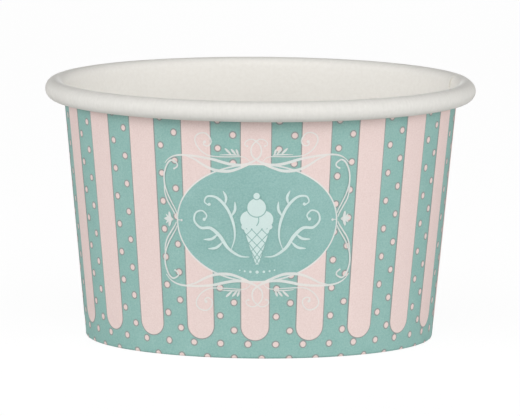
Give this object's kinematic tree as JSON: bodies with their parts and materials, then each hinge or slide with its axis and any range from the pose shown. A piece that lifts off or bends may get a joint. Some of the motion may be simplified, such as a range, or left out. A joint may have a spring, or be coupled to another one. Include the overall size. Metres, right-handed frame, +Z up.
{
  "type": "paper dessert cup",
  "caption": "Squat tapered paper cup with a rolled rim, a lapped side seam and a raised bottom held in a turned-in foot, printed with stripes, dots and an oval label.",
  "frame": {"origin": "centre of the foot, on the surface that the cup stands on", "axes": "+Z up along the cup's axis, -Y towards the middle of the printed front, +X towards its right side, which the side seam is just behind"},
  "size_m": [0.085, 0.085, 0.051],
  "materials": {
    "printed_board": "coated cup board, printed outside in pale pink and soft teal, off-white inside and on the rim",
    "plain_board": "coated off-white cup board, satin"
  },
  "bodies": {
    "root": {"sidewall": "printed_board", "bottom": "plain_board"}
  },
  "joints": []
}
